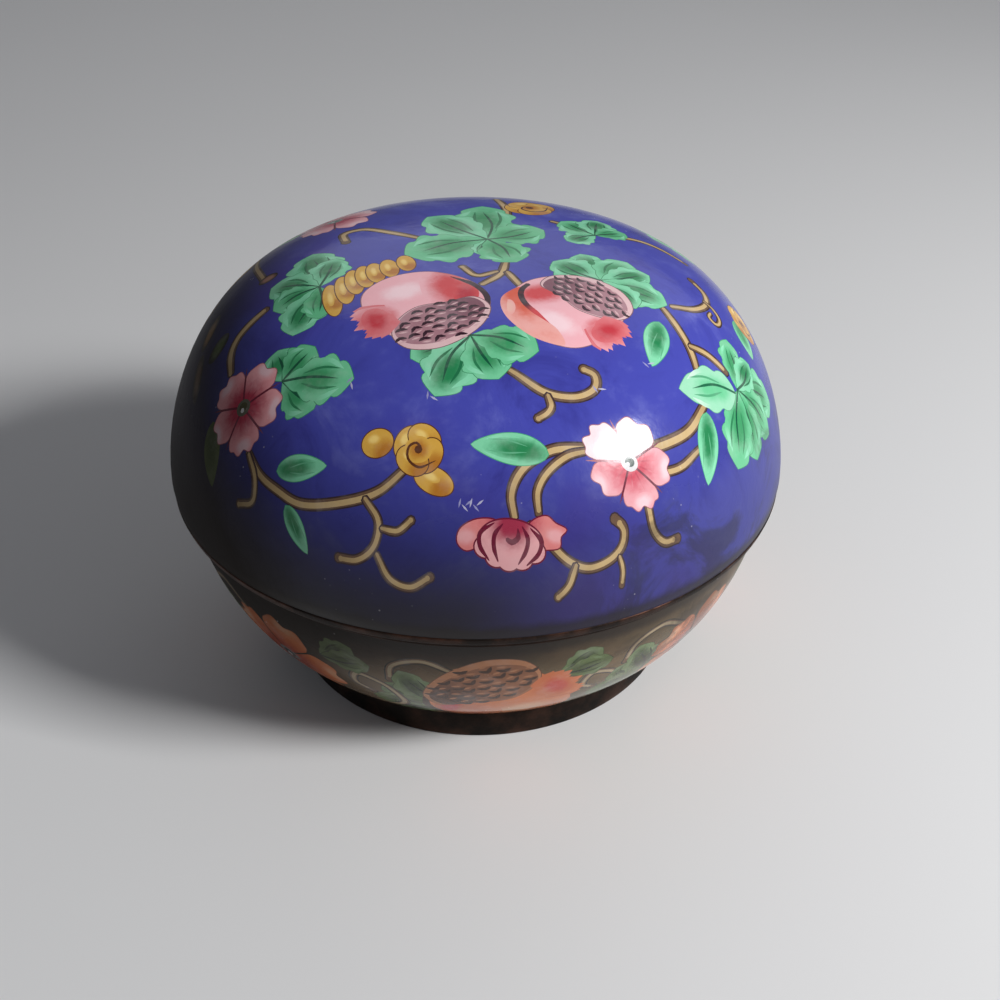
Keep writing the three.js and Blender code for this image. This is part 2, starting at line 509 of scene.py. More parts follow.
def petal(radius, spread, notch, lobes):
    """One petal as a fan from the middle of the blossom, pointing along X."""
    angle = np.linspace(-1, 1, 15 + 8 * lobes)
    reach = radius * np.maximum(0, 1 - np.abs(angle) ** 4) ** 0.42
    reach = reach * (1 - notch * np.cos(angle * math.pi * lobes / 2) ** 2 * (1 - angle**2))
    bearing = np.radians(angle * spread)
    rim = np.stack([reach * np.cos(bearing), reach * np.sin(bearing)], 1)
    return np.concatenate([[(radius * 0.05, 0)], rim])


def blossom(
    sheet, x, y, radius, turn=90, outer=PINK, throat=ROSE, eye=LEAF_INK, ink=ROSE_DEEP, light=PINK_PALE,
    pale=(), squash=1.0, halo=0.2,
):
    """An open blossom. The petals numbered in pale have hardly any colour on them."""
    def put(points, bearing):
        return spin(points_of(points) * radius, bearing) * (1, squash) + (x, y)

    for i in (0, 2, 4, 1, 3):
        bearing = turn + i * PETAL_TURN
        uneven = 1 + 0.05 * math.sin(i * 2.4)
        shape = put(petal(uneven, PETAL_SPREAD, PETAL_NOTCH, lobes=3 + i % 2), bearing)
        skin = mixed(outer, WHITE, 0.75) if i in pale else outer
        root = mixed(throat, WHITE, 0.5) if i in pale else throat
        glow = (radius * 0.84, radius * 0.84 * squash)
        sheet.edged([shape], mixed(ink, outer, 0.3), 0.12, skin, root, (x, y), glow)
        tip = put((0.86, 0), bearing)[0]
        sheet.soft(tip, radius * 0.36, radius * 0.6, bearing, skin, mixed(skin, light, 0.8), shape)
        for lean in (-15, 12):
            streak = put([(s, 0) for s in (0.24, 0.42, 0.62)], bearing + lean)
            paint = mixed(root, ink, 0.22)
            sheet.lay(stroke(streak, 0.26, 0.9, 0.1), paint, mixed(skin, root, 0.5), streak[-1], radius * 0.3)
    for i in range(PETALS):
        cut = put([(s, 0) for s in (0.16, 0.5, 0.92)], turn + PETAL_TURN / 2 + i * PETAL_TURN)
        sheet.lay(stroke(cut, 0.34, 1.0, 0.25), mixed(ink, outer, 0.4 if i in pale else 0.0))
    sheet.lay(disc(x, y, radius * 0.19, squash), mixed(eye, WHITE, halo))
    sheet.lay(disc(x, y + 0.1, radius * 0.11, squash), eye)
    sheet.lay(disc(x - 0.2, y - 0.35, radius * 0.05), mixed(eye, WHITE, 0.7))


def side_blossom(sheet, x, y, width, squash=0.84, outer=SALMON, throat=ROSE_DEEP, light=PINK_PALE):
    """A blossom from the side: two open petals, and a ribbed dome of closed ones between them."""
    unit = width / 16

    def put(*points):
        return points_of(points) * (unit, unit * squash) + (x, y)

    top = put((0, 1.4))[0]
    for side in (LEFT_PETAL, RIGHT_PETAL):
        petal_side = smooth(put(*side), closed=True)
        sheet.edged([petal_side], throat, 0.2, outer, mixed(ROSE, throat, 0.3), top, 5.4 * unit)
        shine = between(top, petal_side.mean(0), 1.3)
        sheet.soft(shine, 4.4 * unit, 2.8 * unit, 0, outer, mixed(outer, light, 0.35), petal_side)
    lobes = [disc(*put(place)[0], 1.7 * unit, squash) for place in DOME_LOBES]
    dome = disc(*put((0.1, -1.5))[0], 4.9 * unit, 0.68 * squash)
    skin = mixed(outer, light, 0.4)
    sheet.edged([dome, *lobes], throat, 0.24, skin, mixed(ROSE, throat, 0.5), top, 4.6 * unit)
    for reach in DOME_RIBS:
        arc = put((reach * 0.6, 0.9), (reach, -0.8), (reach * 0.98, -2.8), (reach * 0.66, -4.9))
        sheet.lay(stroke(arc, 0.66 * unit, 0.3, 0.35), throat)
    sheet.lay(stroke(put((0.9, 0.4), (1.1, -0.8), (0.2, -1.7), (-0.6, -1.3)), 0.8 * unit, 0.3, 0.7), throat)


def bud(sheet, x, y, length, width, turn):
    """One thick yellow petal, dark at its lower edge and light on its back."""
    body = disc(x, y, length / 2, width / length, turn)
    low = (x + 0.3 * width, y - 0.4 * width)
    back = (x - 0.14 * width, y + 0.16 * width)
    sheet.edged([body], YELLOW_INK, 0.15, YELLOW, YELLOW_DEEP, low, width * 0.7)
    sheet.soft(back, length * 0.5, width * 0.42, turn, YELLOW, YELLOW_LIGHT, body)


def curl_blossom(sheet, x, y, radius, turn=0):
    """A yellow blossom: thick petals that overlap round a dark eye, with one brush line that curls."""
    for bearing, share in ((150, 0.62), (60, 0.6), (-30, 0.62), (240, 0.62)):
        lobe = spin([(radius * 0.46, 0)], bearing + turn)[0] + (x, y)
        bud(sheet, lobe[0], lobe[1], radius * 1.35, radius * share * 1.7, bearing + turn + 90)
    sheet.soft((x, y), radius * 1.1, radius, turn, YELLOW, YELLOW_DEEP)
    curl = []
    for k in range(1, 7):
        reach = radius * 0.13 * k
        curl.append((reach * math.cos(k * CURL_TURN), reach * math.sin(k * CURL_TURN)))
    sheet.lay(stroke(spin(curl, turn) + (x, y), 0.36, 0.9, 0.3), YELLOW_INK)
    sheet.lay(disc(x, y, radius * 0.16), YELLOW_INK)


print("blossoms are ready")

# %% [markdown]
# Fruit
#
# The split fruit are the largest forms on the lid. A pink skin blushes coral, a ragged red crown
# ends it, and the opened side shows rows of seeds: short dark dashes laid like bricks, each with
# a light beside it, and a pale lip along the outer edge. The right-hand fruit has a peach lobe
# behind a dark cleft.

# %% Fruit
FRUIT_STEP = 0.07
BODY = (
    (0.8, -0.34), (0.6, -0.76), (0.06, -0.98), (-0.58, -0.84), (-0.95, -0.34), (-1.0, 0.3), (-0.66, 0.82),
    (-0.1, 1.0), (0.5, 0.8), (0.8, 0.3),
)
LOBE = (
    (-0.98, -0.02), (-0.8, -0.22), (-0.56, -0.42), (-0.2, -0.54), (0.2, -0.6), (0.5, -0.8), (0.06, -1.02),
    (-0.6, -0.9), (-1, -0.5),
)
CLEFT = ((-0.95, 0.14), (-0.92, -0.06), (-0.8, -0.25), (-0.58, -0.41), (-0.3, -0.5), (0.02, -0.57))
OPENING = (
    (0.56, 0.26), (0.12, 0.08), (-0.36, 0.2), (-0.78, 0.26), (-0.86, 0.6), (-0.6, 0.92), (-0.2, 1.1),
    (0.3, 1.1), (0.68, 0.84), (0.74, 0.5),
)
SEED_PAINT = (SEED, SEED_PALE, SEED_DEEP)
SEED_ROWS = 6
SEED_COLUMNS = 8
SEED_WIDTH = 0.2
SEED_HEIGHT = 0.17
TUFTS = (-1, -0.8, 0.98, -0.6, 0.8, -0.4, 0.6, -0.2, 0.38, 0.0, 0.2)


def rounded(corners):
    return smooth(corners, closed=True, step=FRUIT_STEP)


def fruit(
    sheet, x, y, radius, turn, skin=PINK, light=PINK_PALE, blush=CORAL, lobe=None, ink=SEED_INK,
    flesh=SEED_PAINT,
):
    """The crown points along the turn, the opening is to its left and the blush opposite."""
    def put(*points):
        return spin(points_of(points) * radius, turn) + (x, y)

    def spot(at_x, at_y):
        return put((at_x, at_y))[0]

    body = put(*rounded(BODY))
    sheet.edged([body], mixed(ink, skin, 0.25), 0.14, skin)
    sheet.soft(spot(0.06, -0.46), radius * 1.0, radius * 0.66, turn, skin, light, body)
    if lobe:
        sheet.soft(spot(-0.62, 0.04), radius * 1.25, radius * 0.8, turn + 64, skin, blush, body)
        paint = mixed(lobe, skin, 0.4)
        spread = (radius * 0.9, radius * 0.42)
        sheet.lay(put(*rounded(LOBE)), paint, PEACH_DEEP, spot(-0.78, -0.3), spread, turn - 40)
        shine = mixed(lobe, WHITE, 0.2)
        sheet.soft(spot(-0.72, -0.66), radius * 0.46, radius * 0.2, turn - 50, paint, shine, body)
        cleft = stroke(put(*CLEFT), radius * 0.1, 0.9, 0.05)
        sheet.lay(cleft, ink, blush, spot(-0.16, -0.5), radius * 0.5)
    else:
        sheet.soft(spot(-0.64, -0.2), radius * 1.7, radius * 0.96, turn + 72, skin, blush, body)
        sheet.soft(spot(-0.72, 0.12), radius * 0.7, radius * 0.4, turn + 60, blush, CORAL_DEEP, body)
        back = put((-0.8, -0.5), (-0.97, -0.1), (-0.97, 0.3), (-0.8, 0.66))
        sheet.lay(stroke(back, radius * 0.1, 0.2, 0.6), ink)
    flush = mixed(blush, skin, 0.22)
    sheet.soft(spot(0.62, 0.0), radius * 0.7, radius * 0.6, turn + 90, skin, flush, body)
    seeds(sheet, put, radius, ink, *flesh)
    crown(sheet, put, radius, turn, blush, skin)


def crown(sheet, put, radius, turn, blush, skin):
    """A ragged tuft: short strokes that fan out, pale and red in turn, round a deep red heart."""
    base = mixed(blush, skin, 0.22)
    heart = put((0.76, 0.02))[0]
    for i, share in enumerate(TUFTS):
        reach = 1.06 + 0.06 * math.sin(i * 2.3) - 0.13 * share**2
        tuft = put((0.52, share * 0.2), (0.8, share * 0.35), (reach, share * 0.42))
        tip = mixed(blush, skin, 0.3 + 0.5 * (i % 2))
        sheet.lay(stroke(tuft, radius * 0.2, 0.8, 0.15), tip, base, heart, radius * 0.5)
    sheet.soft(heart, radius * 0.66, radius * 0.44, turn + 84, base, mixed(blush, CORAL_DEEP, 0.6))


def seeds(sheet, put, radius, ink, body, pale, deep):
    """The opened side: a pale lip, and in it rows of dashes that lie like bricks."""
    opening = rounded(OPENING)
    middle = opening.mean(0)
    whole = put(*opening)
    sheet.lay(grow(counter_clockwise(whole), 0.14), mixed(ink, body, 0.4))
    sheet.lay(whole, pale)
    inner = put(*((opening - middle) * (0.93, 0.88) + middle + (0.0, -0.05)))
    sheet.lay(inner, body, deep, put((-0.62, 0.42))[0], radius * 0.7)
    for row in range(SEED_ROWS):
        for column in range(SEED_COLUMNS):
            jitter = 0.03 * math.sin(row * 5.1 + column * 3.7)
            across = -0.82 + (column + 0.5 * (row % 2)) * SEED_WIDTH
            at = np.array([across, 0.18 + row * SEED_HEIGHT + jitter])
            at[1] += 0.08 * math.cos(at[0] * 2.4) - 0.04
            if np.hypot(*((at - middle) / (0.74, 0.45))) > 1:
                continue
            dash = put(at + (-0.08, 0.02), at + (0, -0.03), at + (0.08, 0.01 + jitter))
            sheet.lay(stroke(dash, radius * 0.064, 0.5, 0.4), ink)
            shine = put(at + (-0.05, 0.075), at + (0.05, 0.065 + jitter))
            sheet.lay(stroke(shine, radius * 0.04, 0.5, 0.3), mixed(body, pale, 0.75))


def beads(sheet, points, longest, shortest, width, lean):
    """A row of thick yellow petals side by side, each shorter than the one before and laid over it."""
    for (x, y), length in zip(points, np.linspace(longest, shortest, len(points))):
        bud(sheet, x, y, length, width, lean)


print("fruit and beads are ready")

# %% [markdown]
# The lid's composition
#
# Two split fruit hang near the crown among lobed leaves, and stems run from them round the front
# to the blossoms. Places are millimetres on the flat plan, from the crown of the lid: X to the
# right and Y away from the viewer. Stems are laid first, then leaves, then blossoms and fruit. At
# the left edge a petal, a leaf and a stem are only dull blots that fade into the painted shade
# there. The far side isn't seen, so it gets calmer sprays of the same leaves and blossoms.

# %% The painting on the lid
STEMS = (
    ([(6.9, -31.8), (12.4, -34.5), (16.9, -33.9), (19, -31.8), (18.6, -29.8), (17.1, -29.4)], 1.5, True),
    ([(12.4, -34.7), (13.1, -36.6), (11.5, -38.3)], 1.2, True),
    ([(4.4, -4.4), (3.9, -9.1), (1.5, -12.9)], 1.4, False),
    ([(4.8, -8.2), (7.2, -12.9)], 1.3, False),
    ([(3.4, -8.2), (0.6, -10), (-1.8, -7.2)], 1.2, True),
    ([(3.4, 9), (2.9, 17.4), (0.6, 25)], 1.5, False),
    ([(-8.5, 2.6), (-14, 5), (-19, 6.9), (-21.6, 5.4), (-20.6, 1.6)], 1.4, True),
    ([(-38, 10), (-36, 2), (-32.1, -6.7)], 1.2, True),
    ([(29.5, -10.5), (33.4, -8.2), (35.8, -4.4), (35.6, -1), (33.3, 1.3)], 1.3, True),
    ([(35.4, -3.8), (37.2, -4.4), (38.4, -6.2), (37.8, -8.2), (36.3, -7.6), (36.6, -6.2)], 0.9, False),
    ([(28.1, -11.8), (32.8, -18.1), (34.7, -21.9)], 1.6, False),
    ([(32.8, -17.6), (36, -17), (40.5, -17.4)], 1.5, False),
    ([(36.8, -26), (34.9, -31.6), (31.2, -35.6), (27, -38.5)], 1.9, False),
    ([(37.6, -33.2), (34.9, -37.5), (31.5, -39.8), (28, -40.6)], 1.4, False),
    ([(29.5, -43), (31.2, -45.6), (33.3, -48), (36.1, -48.6), (38.5, -47)], 1.5, True),
    ([(23, -39.8), (18.4, -40.9), (13.8, -42.3), (10, -45.6), (8.9, -48.9), (9.8, -52)], 1.6, False),
    ([(19, -41.1), (16.4, -42.4), (13.7, -45.3), (12.7, -48), (13.4, -51)], 1.4, False),
    ([(12, -52.5), (15, -54), (19.5, -56.3), (23.3, -56.5), (26.9, -54.2), (28.2, -51.6), (27.5, -49.4),
      (25.6, -48.7)], 1.6, True),
    ([(20.9, -56.5), (20.5, -59.8), (19.1, -61.7)], 1.5, True),
    ([(28.2, -53.4), (29.6, -55), (30.4, -57.2)], 1.1, True),
    ([(-6, -46), (-10.8, -49.2), (-17.4, -50), (-24.1, -48.9), (-27.9, -46.1), (-30.7, -43.2),
      (-32.6, -39)], 1.6, False),
    ([(-12.9, -49.9), (-11, -53.2), (-12.2, -56.5), (-15.2, -58), (-18.6, -57.4)], 1.4, True),
    ([(-10.6, -54.1), (-8, -54.6), (-5.8, -53.2)], 1.2, True),
    ([(-11.8, -57.5), (-9.9, -61.2), (-6.5, -62.5), (-3.0, -61)], 1.4, True),
    ([(-32.6, -39.4), (-32.1, -43.2), (-33.6, -46.1), (-36.9, -45.3)], 1.3, True),
    ([(10.4, 13), (18, 9.4), (26, 10.4), (33, 8.2)], 1.3, False),
    ([(-35.4, -25.5), (-35.6, -21.4), (-34.5, -19), (-29.8, -15.3)], 1.8, False),
)
FOLIAGE = (
    ((-22, -13), [(-25.2, -1.6, 8), (-21, -4.5, 6), (-30.2, -10, 7), (-28.6, -16.5, 6.5), (-24.4, -23.4, 7),
                  (-20.6, -21, 5)]),
    ((-25.4, -31), [(-26.6, -25.4, 6), (-20.6, -26.6, 6), (-20.2, -36.6, 6.4), (-14.3, -33.2, 7)]),
    ((1, 3.6), [(-1.2, 18.6, 9), (-9.4, 12.2, 8.5), (-10.8, -3.6, 10), (0.6, -2.6, 3.6), (9.4, 8.6, 8),
                (6, -4.6, 7.6)]),
    ((18.6, -8.4), [(15.4, 0, 6), (11.4, -3.6, 7), (22.6, -0.6, 7), (26, -3.4, 5.5), (28.8, -10.6, 7),
                    (24, -14.2, 6)]),
    ((1.2, -26), [(-6.6, -30.6, 6), (-2.8, -36.6, 7.4), (5.6, -33.4, 6.8), (10.6, -27.8, 7)]),
    ((17.6, 8.6), [(13.2, 4.8, 5), (12, 13.4, 6), (17.8, 16.6, 6), (22.4, 12.4, 5)]),
    ((43.2, -18.4), [(53.8, -9.4, 8), (54.8, -16.4, 7), (52.4, -24.6, 8), (47.4, -30.4, 8.5),
                     (39.8, -10, 5.6), (45.6, -9.8, 5.2)]),
)
SINGLE_LEAVES = (
    ((27.6, -15.6), (27, -25), 4.0),
    ((37.4, -27.2), (41.4, -37), 4.6),
    ((13.6, -42.9), (2.6, -43), 4.2),
    ((-27.4, -43.6), (-18.6, -44.8), 3.6),
    ((-26.8, -48.6), (-24.4, -56), 3.0),
    ((42, -1.6), (47, -6.6), 4.4),
)
GLINTS = (
    (1.4, -51.2, 3.6, 4),
    (-3.8, -36.9, 1.4, 15),
    (-15.2, -33.6, 1.2, -30),
    (19.3, -32.4, 1.3, 60),
    (26.4, -25.4, 1.0, 80),
)
# dull blots of a petal, a leaf and a stem on the left flank, fading into its painted shade
DIM_BLOTS = (
    (-42.3, -11.6, 7.0, 3.2, 66, rgb(150, 112, 62)),
    (-39, -18, 5.4, 3.4, 40, SAGE),
    (-44.5, -20, 9.0, 3.0, 80, rgb(104, 76, 50)),
    (-31.6, -6.2, 3.4, 2.6, 30, rgb(170, 124, 104)),
)
BEADS = (
    (-19.4, -17), (-18, -14.6), (-16.9, -12.5), (-15.6, -11), (-14.2, -9.9), (-12.4, -8.4), (-10.2, -6.6),
)
BACK_SPRAYS = (136, 177, 218, 256)


def paint_front(sheet):
    for points, width, hook in STEMS:
        tendril(sheet, points, width, hook)
    for base, tip, width in SINGLE_LEAVES:
        leaf(sheet, base, tip, width)
    for base, lobes in FOLIAGE:
        foliage(sheet, base, lobes)
    leaf(sheet, (-40, -31), (-43, -40), 4.6, colours=(SAGE, SAGE_DEEP), light=SAGE, ink=SAGE_INK)
    # the blots fade into the near-black of the painted shade
    for x, y, length, width, turn, colour in DIM_BLOTS:
        sheet.soft((x, y), length, width, turn, SHADE_BLACK, colour)
    pale = mixed(LEAF, LEAF_LIGHT, 0.7)
    leaf(sheet, (42.8, -19.4), (31.8, -26.4), 7.4, 3, colours=(pale, LEAF), light=mixed(pale, WHITE, 0.5))
    beads(sheet, BEADS, 8.4, 5.4, 2.7, 106)
    fruit(sheet, -6.5, -18.8, 9.2, 214.7)
    fruit(sheet, 14.4, -17.6, 8.8, 326, lobe=PEACH)
    blossom(
        sheet, 25.9, -40.6, 7.6, 90, rgb(240, 168, 176), rgb(208, 66, 88), eye=rgb(44, 66, 58), pale=(0, 1),
        squash=0.82, halo=0.75,
    )
    blossom(
        sheet, -32.8, -32.3, 7.6, 48, rgb(248, 168, 172), rgb(180, 46, 72), eye=rgb(72, 70, 40), squash=0.86,
        halo=0.06,
    )
    side_blossom(sheet, 9.6, -53.8, 16.4)
    bud(sheet, -10.6, -42.8, 4.6, 3.8, 10)
    bud(sheet, -2.4, -48.0, 6.0, 3.5, -22)
    curl_blossom(sheet, -4.7, -43.9, 3.6)
    for x, y, length, turn in GLINTS:
        glint(sheet, x, y, length, turn)


def paint_spray(sheet, spray):
    """A calmer branch for the far side, drawn as if in front and turned round the lid."""
    tendril(sheet, [(-15, -38), (-9, -47), (0, -51), (9, -50), (14, -45), (11.5, -42.5)], 1.6, hook=True)
    tendril(sheet, [(-2, -51), (-4, -57), (-9, -60), (-12.5, -57.5)], 1.4, hook=True)
    tendril(sheet, [(5, -51), (8, -57), (13, -58.5)], 1.3, hook=True)
    leaf(sheet, (-10, -45.5), (-19, -50), 4.4)
    leaf(sheet, (0, -51.5), (4, -60.5), 4.2)
    foliage(sheet, (-8, -39), [(-15, -33, 6.5), (-9, -30.5, 6.5), (-2.5, -33, 6)])
    if spray % 2:
        curl_blossom(sheet, 3.4, -42.6, 4.4, turn=20)
    else:
        blossom(sheet, 3.4, -42, 7.2, turn=30)


def turned_by(degrees):
    def place(points):
        return spin(points, degrees)

    return place


def paint_lid():
    sheet = Sheet(lid_line)
    for spray, degrees in enumerate(BACK_SPRAYS):
        sheet.place = turned_by(degrees)
        paint_spray(sheet, spray)
    sheet.place = points_of
    paint_front(sheet)
    blossom(sheet, -25, 14.5, 7.0, turn=30)
    curl_blossom(sheet, 6.6, 19.5, 4.2, turn=60)
    curl_blossom(sheet, 44.6, 1.6, 3.8, turn=100)
    return sheet


lid_sheet = paint_lid()
print(f"{len(lid_sheet.laid)} strokes on the lid")

# %% [markdown]
# From the plan to the surface
#
# All outlines become edges of one flat mesh that also has a regular net of points, so the surface
# stays round. A constrained triangulation keeps every outline exactly. Each triangle then takes
# the paint of the last stroke that covers it, and the flat mesh is wrapped on the profile. The
# colour borders are as sharp as a brush line at any distance, and nothing is raised.

# %% The painted skin
NET = 1.9
EDGE_STEPS = 240
BORDER = 0.3
MERGE = 1e-4


def inside(outline, points):
    """Which points a closed outline goes round, also where the outline crosses itself."""
    low, high = outline.min(0), outline.max(0)
    near = np.nonzero(np.all((points > low) & (points < high), axis=1))[0]
    if not len(near):
        return near
    px, py = points[near, 0][:, None], points[near, 1][:, None]
    ax, ay = outline[:, 0][None], outline[:, 1][None]
    bx, by = np.roll(outline[:, 0], -1)[None], np.roll(outline[:, 1], -1)[None]
    left = (bx - ax) * (py - ay) - (px - ax) * (by - ay)
    up = (ay <= py) & (by > py) & (left > 0)
    down = (ay > py) & (by <= py) & (left < 0)
    return near[np.sum(up, 1) != np.sum(down, 1)]


def net_points(profile):
    """Rings of points over the plan, about as far apart as the net on the real surface."""
    rings = max(2, round(profile.end / NET))
    found = [np.zeros((1, 2))]
    for i in range(1, rings):
        run = profile.end * i / rings
        count = max(6, round(ROUND * profile.at(run)[0] / NET))
        angle = (np.arange(count) + 0.5 * (i % 2)) / count * ROUND
        found.append(np.stack([run * np.cos(angle), run * np.sin(angle)], 1))
    return np.concatenate(found)


def triangulate(sheet):
    """The plan as vertices and triangles, with every outline among its edges."""
    profile = sheet.profile
    loops = [disc(0, 0, profile.end, count=EDGE_STEPS)]
    for outline, *_ in sheet.laid:
        if np.hypot(*outline.T).max() < profile.end - BORDER:
            loops.append(outline)
    points = np.concatenate([*loops, net_points(profile)])
    edges = []
    first = 0
    for loop in loops:
        count = len(loop)
        edges += [(first + i, first + (i + 1) % count) for i in range(count)]
        first += count
    flat = [Vector(p) for p in points]
    verts, _, faces, *_ = geometry.delaunay_2d_cdt(flat, edges, [], 0, MERGE, False)
    return np.array([v[:] for v in verts]), np.array(faces)


def paint_corners(sheet, verts, faces, ground):
    """For each triangle, the two colours and the local place in the last paint that covers it."""
    middles = verts[faces].mean(1)
    top = np.full(len(faces), -1)
    for i, (outline, *_, clip) in enumerate(sheet.laid):
        covered = inside(outline, middles)
        if clip is not None:
            covered = covered[inside(clip, middles[covered])]
        top[covered] = i
    first = np.empty((len(faces), 3))
    second = np.empty((len(faces), 3))
    first[:], second[:] = ground
    local = np.zeros((len(faces), 3, 3))
    for i, (_, colour, other, centre, spread, _) in enumerate(sheet.laid):
        mine = np.nonzero(top == i)[0]
        first[mine] = colour
        second[mine] = other
        local[mine, :, :2] = (verts[faces[mine]] - centre) @ spread
        local[mine, :, 2] = 1
    return first, second, local


print(f"the net under the lid's painting has {len(net_points(lid_line))} points")

# %% [markdown]
# The skin becomes a shell
#
# The lid and the bowl are thin, with glass on the inside too. The open edge of the skin is
# extruded inwards by the wall and then ring by ring up the inside, each ring scaled and moved to
# its radius and height, and the last ring is merged into one point. A Solidify modifier would
# copy the whole painted net to the inside, which nobody sees.

# %% Tools for working in edit mode
SHELL_RINGS = 24
GROUND_BLUE = (BLUE, BLUE_DEEP)
GROUND_OLIVE = (OLIVE, OLIVE_DEEP)


def only(piece):
    bpy.ops.object.select_all(action="DESELECT")
    piece.select_set(True)
    bpy.context.view_layer.objects.active = piece


def pick(piece, kind, test):
    """In edit mode: selects the vertices or edges that pass a test, and nothing else."""
    bpy.ops.mesh.select_mode(type=kind)
    bpy.ops.mesh.select_all(action="DESELECT")
    bpy.ops.object.mode_set(mode="OBJECT")
    for item in {"VERT": piece.data.vertices, "EDGE": piece.data.edges}[kind]:
        if test(item):
            item.select = True
    bpy.ops.object.mode_set(mode="EDIT")


def scale_selected(factor, height):
    bpy.ops.transform.resize(value=(factor, factor, 1), center_override=(0, 0, height * MM))


def extrude_rings(rings):
    """From a selected open edge at the first ring: extrudes it to each further radius and height."""
    radius, height = rings[0]
    for next_radius, next_height in rings[1:]:
        bpy.ops.mesh.extrude_region()
        scale_selected(next_radius / radius, height)
        bpy.ops.transform.translate(value=(0, 0, (next_height - height) * MM))
        radius, height = next_radius, next_height
    bpy.ops.mesh.merge(type="CENTER")


def inner_rings(profile):
    """The outline from the outer edge over the wall and up the inside, as radii and heights."""
    rings = [profile.at(profile.end)]
    edge_radius, edge_height = rings[0]
    rings.append((edge_radius - WALL, edge_height))
    for run in np.linspace(profile.end, 0, SHELL_RINGS)[1:-1]:
        point, normal = profile.wrap(np.array([[run, 0.0]]))
        rings.append((point[0, 0] / MM - normal[0, 0] * WALL, point[0, 2] / MM - normal[0, 2] * WALL))
    return rings


print(f"the inside of the lid follows {len(inner_rings(lid_line))} rings")

# %% [markdown]
# The lid
#
# The flat triangles go into a mesh with their colours as attributes on their corners, where the
# material can read them. Attributes cost nothing to render and stay sharp at any size, as an image
# wouldn't. Facets would show in the glaze, so each point of the skin gets the normal of the true
# curve.

# %% The shells
def attribute(mesh, name, kind, domain, values):
    made = mesh.attributes.new(name, kind, domain)
    key = "color" if kind == "FLOAT_COLOR" else "vector"
    made.data.foreach_set(key, np.ascontiguousarray(values, np.float32).ravel())


def painted_shell(name, sheet, ground):
    profile = sheet.profile
    verts, faces = triangulate(sheet)
    first, second, local = paint_corners(sheet, verts, faces, ground)
    if profile.outward < 0:
        faces, local = faces[:, ::-1], local[:, ::-1]
    points, normals = profile.wrap(verts)
    mesh = bpy.data.meshes.new(name)
    mesh.from_pydata(points.tolist(), [], faces.tolist())
    opaque = np.ones((len(faces) * 3, 1))
    attribute(mesh, "first_colour", "FLOAT_COLOR", "CORNER", np.hstack([first.repeat(3, 0), opaque]))
    attribute(mesh, "second_colour", "FLOAT_COLOR", "CORNER", np.hstack([second.repeat(3, 0), opaque]))
    attribute(mesh, "brush", "FLOAT_VECTOR", "CORNER", local)
    attribute(mesh, "plan", "FLOAT_VECTOR", "POINT", np.pad(verts, ((0, 0), (0, 1))))
    piece = bpy.data.objects.new(name, mesh)
    bpy.context.scene.collection.objects.link(piece)
    only(piece)
    bpy.ops.object.mode_set(mode="EDIT")
    bpy.ops.mesh.select_mode(type="EDGE")
    bpy.ops.mesh.select_all(action="DESELECT")
    bpy.ops.mesh.select_non_manifold()
    extrude_rings(inner_rings(profile))
    bpy.ops.object.mode_set(mode="OBJECT")
    finish_shell(piece, len(faces), normals)
    print(f"{name}: {len(mesh.polygons)} faces, {len(mesh.vertices)} points")
    return piece


def finish_shell(piece, skin_faces, normals):
    """The skin takes the normals of the true curve, and the inside its own smooth ones and finish."""
    mesh = piece.data
    mesh.shade_smooth()
    inner = np.arange(len(mesh.polygons)) >= skin_faces
    mesh.polygons.foreach_set("material_index", inner.astype(np.int32))
    corner_vertex = np.empty(len(mesh.loops), np.int32)
    mesh.loops.foreach_get("vertex_index", corner_vertex)
    corner_normals = np.zeros((len(mesh.loops), 3))
    skin = corner_vertex[: skin_faces * 3]
    corner_normals[: skin_faces * 3] = normals[skin]
    mesh.normals_split_custom_set(corner_normals.tolist())


lid = painted_shell("painted_lid", lid_sheet, GROUND_BLUE)

# %% [markdown]
# The bowl's painting
#
# The bowl repeats the lid's fruit and leaves in duller, warmer colours on an olive ground. Its
# motifs are drawn on a strip, with X round the bowl and Y up its side, and each point is then
# taken round by the angle that its distance makes at its own radius, so nothing is stretched.

# %% The painting on the bowl
BOWL_REPEATS = 8
BOWL_CENTRE_RUN = 1.0
BOWL_EDGE_GAP = 0.05
DULL_SEEDS = (rgb(140, 92, 64), rgb(180, 124, 88), rgb(92, 58, 42))
BOWL_FRONT = math.radians(-82)
SAGE_PAINT = dict(colours=(SAGE, SAGE_DEEP), light=rgb(112, 132, 92), ink=SAGE_INK)
BONE_PAINT = dict(colours=(BONE, TAN_DEEP), light=rgb(176, 158, 126), ink=SAGE_INK)


def bowl_place(azimuth):
    """From strip millimetres round one azimuth to the bowl's plan."""
    def place(points):
        points = points_of(points)
        run = np.clip(points[:, 1], BOWL_CENTRE_RUN, bowl_line.end - BOWL_EDGE_GAP)
        bearing = azimuth + points[:, 0] / bowl_line.at(run)[0]
        return np.stack([run * np.cos(bearing), run * np.sin(bearing)], 1)

    return place


